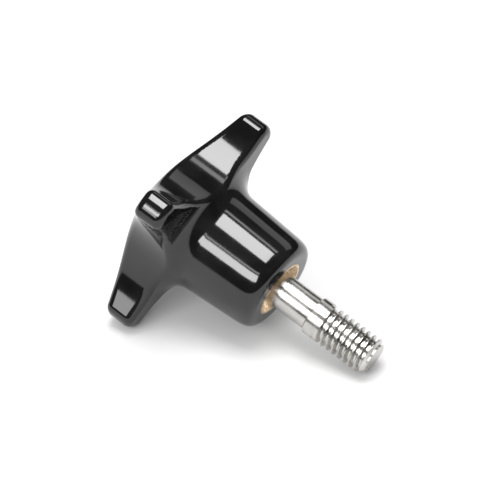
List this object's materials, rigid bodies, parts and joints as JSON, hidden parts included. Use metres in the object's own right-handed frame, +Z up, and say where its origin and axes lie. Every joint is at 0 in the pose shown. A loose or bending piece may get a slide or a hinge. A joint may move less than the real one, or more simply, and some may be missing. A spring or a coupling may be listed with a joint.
{
  "type": "four-lobe knob with threaded stud",
  "caption": "Black moulded clamping knob with swept lobes, a tapered hub, a brass insert and a polished steel stud with a plain neck and a threaded end.",
  "frame": {"origin": "centre of the footprint, on the surface that the knob lies on", "axes": "+Z up; the stud's axis lies in the XZ plane, pointing along +X and tilted 18.2 degrees downwards; the knob rests on two lobe tips and the stud's tip"},
  "size_m": [0.064, 0.043, 0.0423],
  "materials": {
    "handle_plastic": "polished black phenolic moulding",
    "insert_brass": "as-turned brass",
    "stud_steel": "polished stainless steel"
  },
  "bodies": {
    "root": {"handle": "handle_plastic", "threaded_insert": "insert_brass", "threaded_stud": "stud_steel"}
  },
  "joints": []
}
